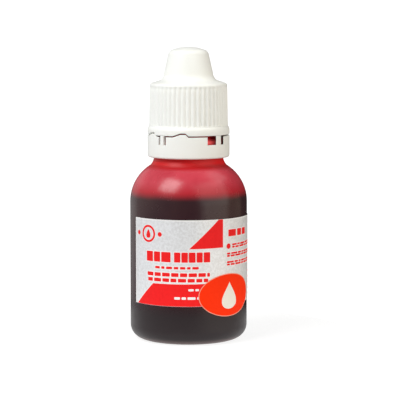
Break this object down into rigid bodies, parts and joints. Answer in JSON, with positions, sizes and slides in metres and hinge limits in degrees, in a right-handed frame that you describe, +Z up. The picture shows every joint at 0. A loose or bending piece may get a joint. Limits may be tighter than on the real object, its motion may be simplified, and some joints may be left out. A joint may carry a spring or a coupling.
{
  "type": "dropper ink bottle",
  "caption": "Round squeeze bottle of stamp ink with a wrap label, a dropper nozzle, a ribbed long-tipped screw cap and a tamper band.",
  "frame": {"origin": "centre of the base, on the surface that the bottle stands on", "axes": "+Z up the bottle's axis; -Y is the front, where the label's panel faces; +X is to the right of a viewer who looks along +Y"},
  "size_m": [0.0332, 0.0334, 0.0824],
  "materials": {
    "bottle_ldpe": "translucent blow-moulded polyethylene with a soft sheen, stained red inside by a film of ink",
    "ink": "dark red liquid",
    "nozzle_ldpe": "natural polyethylene, satin",
    "white_pp": "white moulded polypropylene, satin",
    "label_film": "silver metallised film with red print",
    "sticker_film": "orange-red paper-backed sticker"
  },
  "bodies": {
    "bottle": {"bottle": "bottle_ldpe", "ink": "ink", "dropper_nozzle": "nozzle_ldpe", "label": "label_film", "colour_sticker": "sticker_film"},
    "cap_carrier": {"cap_seal_pin": "white_pp"},
    "cap": {"cap": "white_pp"},
    "band": {"tamper_band": "white_pp"}
  },
  "joints": [
    {"name": "cap_lift", "type": "slide", "parent": "bottle", "child": "cap_carrier", "axis": [0, 0, 1], "range_m": [0, 0.021]},
    {"name": "cap_turn", "type": "hinge", "parent": "cap_carrier", "child": "cap", "pos_m": [0, 0, 0.0579], "axis": [0, 0, 1], "range_deg": [0, 2520]},
    {"name": "band_turn", "type": "hinge", "parent": "bottle", "child": "band", "pos_m": [0, 0, 0.0545], "axis": [0, 0, 1], "range_deg": [0, 2520]}
  ],
  "couplings": [
    {"joint": "cap_turn", "follows": "cap_lift", "rad_per_m": 2094.4},
    {"joint": "band_turn", "follows": "cap_lift", "rad_per_m": 2094.4}
  ]
}
